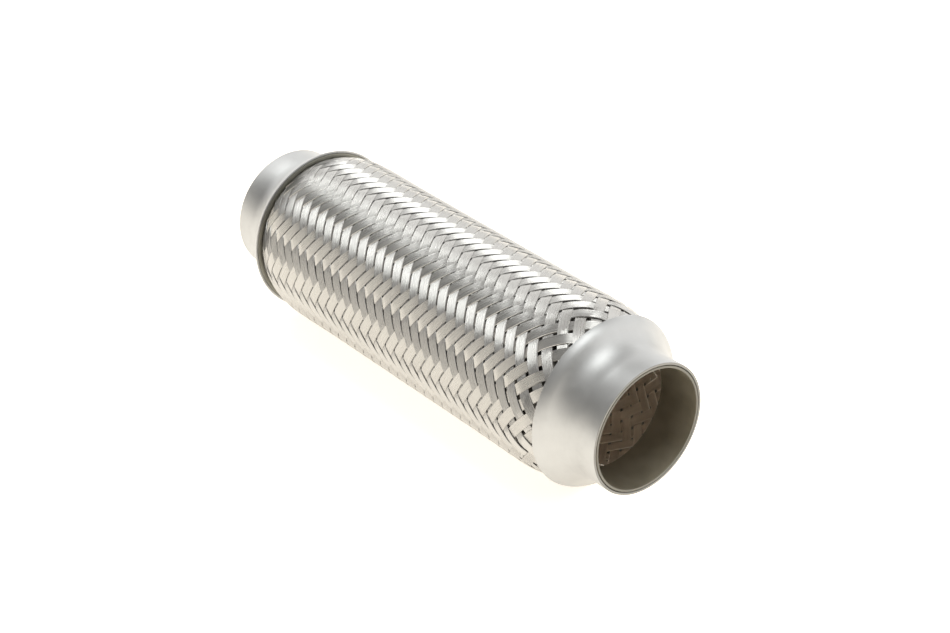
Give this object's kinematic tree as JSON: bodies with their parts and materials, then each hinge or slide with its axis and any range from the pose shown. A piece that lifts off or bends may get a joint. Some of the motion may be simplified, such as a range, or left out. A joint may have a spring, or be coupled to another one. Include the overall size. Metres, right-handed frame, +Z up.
{
  "type": "braided flexible pipe connector",
  "caption": "Flexible metal pipe connector: pressed end caps joined by a corrugated bellows, with a woven wire braid outside and a woven wire liner inside.",
  "frame": {"origin": "on the surface that the connector lies on, below the middle of its length", "axes": "+X along the pipe axis towards the front mouth, +Z up from the surface it lies on"},
  "size_m": [0.23, 0.0732, 0.0732],
  "materials": {
    "cap": "satin pressed steel sheet, faintly grained",
    "sleeve": "dull steel tube with fine lengthwise drawing marks",
    "retainer": "dull steel strip",
    "braid": "bright drawn stainless wire, laid flat in ribbons",
    "bellows": "smooth bright stainless sheet",
    "liner": "drawn stainless wire, laid flat in ribbons"
  },
  "bodies": {
    "rear_end": {"end_cap_rear": "cap", "inner_sleeve_rear": "sleeve", "retaining_ring_rear": "retainer", "outer_braid_end_rear": "braid", "bellows_cuff_rear": "bellows", "inner_braid_end_rear": "liner"},
    "flex_01": {"outer_braid_01": "braid", "bellows_01": "bellows", "inner_braid_01": "liner"},
    "flex_02": {"outer_braid_02": "braid", "bellows_02": "bellows", "inner_braid_02": "liner"},
    "flex_03": {"outer_braid_03": "braid", "bellows_03": "bellows", "inner_braid_03": "liner"},
    "flex_04": {"outer_braid_04": "braid", "bellows_04": "bellows", "inner_braid_04": "liner"},
    "flex_05": {"outer_braid_05": "braid", "bellows_05": "bellows", "inner_braid_05": "liner"},
    "flex_06": {"outer_braid_06": "braid", "bellows_06": "bellows", "inner_braid_06": "liner"},
    "flex_07": {"outer_braid_07": "braid", "bellows_07": "bellows", "inner_braid_07": "liner"},
    "flex_08": {"outer_braid_08": "braid", "bellows_08": "bellows", "inner_braid_08": "liner"},
    "flex_09": {"outer_braid_09": "braid", "bellows_09": "bellows", "inner_braid_09": "liner"},
    "flex_10": {"outer_braid_10": "braid", "bellows_10": "bellows", "inner_braid_10": "liner"},
    "flex_11": {"outer_braid_11": "braid", "bellows_11": "bellows", "inner_braid_11": "liner"},
    "front_end": {"end_cap_front": "cap", "inner_sleeve_front": "sleeve", "retaining_ring_front": "retainer", "outer_braid_end_front": "braid", "bellows_cuff_front": "bellows", "inner_braid_end_front": "liner"}
  },
  "joints": [
    {"name": "rear_yaw", "type": "hinge", "parent": "rear_end", "child": "flex_01", "pos_m": [-0.0825, 0, 0.0366], "axis": [0, 0, 1], "range_deg": [-4.08, 4.08], "stiffness_Nm_per_rad": 80},
    {"name": "rear_pitch", "type": "hinge", "parent": "flex_01", "child": "flex_02", "pos_m": [-0.0675, 0, 0.0366], "axis": [0, 1, 0], "range_deg": [-4.08, 4.08], "stiffness_Nm_per_rad": 80},
    {"name": "stretch", "type": "slide", "parent": "flex_02", "child": "flex_03", "axis": [1, 0, 0], "range_m": [-0.002, 0.00125], "stiffness_N_per_m": 40000},
    {"name": "rear_yaw_b", "type": "hinge", "parent": "flex_03", "child": "flex_04", "pos_m": [-0.0375, 0, 0.0366], "axis": [0, 0, 1], "range_deg": [-4.08, 4.08], "stiffness_Nm_per_rad": 80},
    {"name": "rear_pitch_b", "type": "hinge", "parent": "flex_04", "child": "flex_05", "pos_m": [-0.0225, 0, 0.0366], "axis": [0, 1, 0], "range_deg": [-4.08, 4.08], "stiffness_Nm_per_rad": 80},
    {"name": "stretch_b", "type": "slide", "parent": "flex_05", "child": "flex_06", "axis": [1, 0, 0], "range_m": [-0.002, 0.00125], "stiffness_N_per_m": 40000},
    {"name": "stretch_c", "type": "slide", "parent": "flex_06", "child": "flex_07", "axis": [1, 0, 0], "range_m": [-0.002, 0.00125], "stiffness_N_per_m": 40000},
    {"name": "front_pitch_b", "type": "hinge", "parent": "flex_07", "child": "flex_08", "pos_m": [0.0225, 0, 0.0366], "axis": [0, 1, 0], "range_deg": [-4.08, 4.08], "stiffness_Nm_per_rad": 80},
    {"name": "front_yaw_b", "type": "hinge", "parent": "flex_08", "child": "flex_09", "pos_m": [0.0375, 0, 0.0366], "axis": [0, 0, 1], "range_deg": [-4.08, 4.08], "stiffness_Nm_per_rad": 80},
    {"name": "stretch_d", "type": "slide", "parent": "flex_09", "child": "flex_10", "axis": [1, 0, 0], "range_m": [-0.002, 0.00125], "stiffness_N_per_m": 40000},
    {"name": "front_pitch", "type": "hinge", "parent": "flex_10", "child": "flex_11", "pos_m": [0.0675, 0, 0.0366], "axis": [0, 1, 0], "range_deg": [-4.08, 4.08], "stiffness_Nm_per_rad": 80},
    {"name": "front_yaw", "type": "hinge", "parent": "flex_11", "child": "front_end", "pos_m": [0.0825, 0, 0.0366], "axis": [0, 0, 1], "range_deg": [-4.08, 4.08], "stiffness_Nm_per_rad": 80}
  ],
  "couplings": [
    {"joint": "rear_yaw_b", "follows": "rear_yaw", "ratio": 1},
    {"joint": "rear_pitch_b", "follows": "rear_pitch", "ratio": 1},
    {"joint": "stretch_b", "follows": "stretch", "ratio": 1},
    {"joint": "stretch_c", "follows": "stretch", "ratio": 1},
    {"joint": "front_pitch_b", "follows": "front_pitch", "ratio": 1},
    {"joint": "front_yaw_b", "follows": "front_yaw", "ratio": 1},
    {"joint": "stretch_d", "follows": "stretch", "ratio": 1}
  ]
}
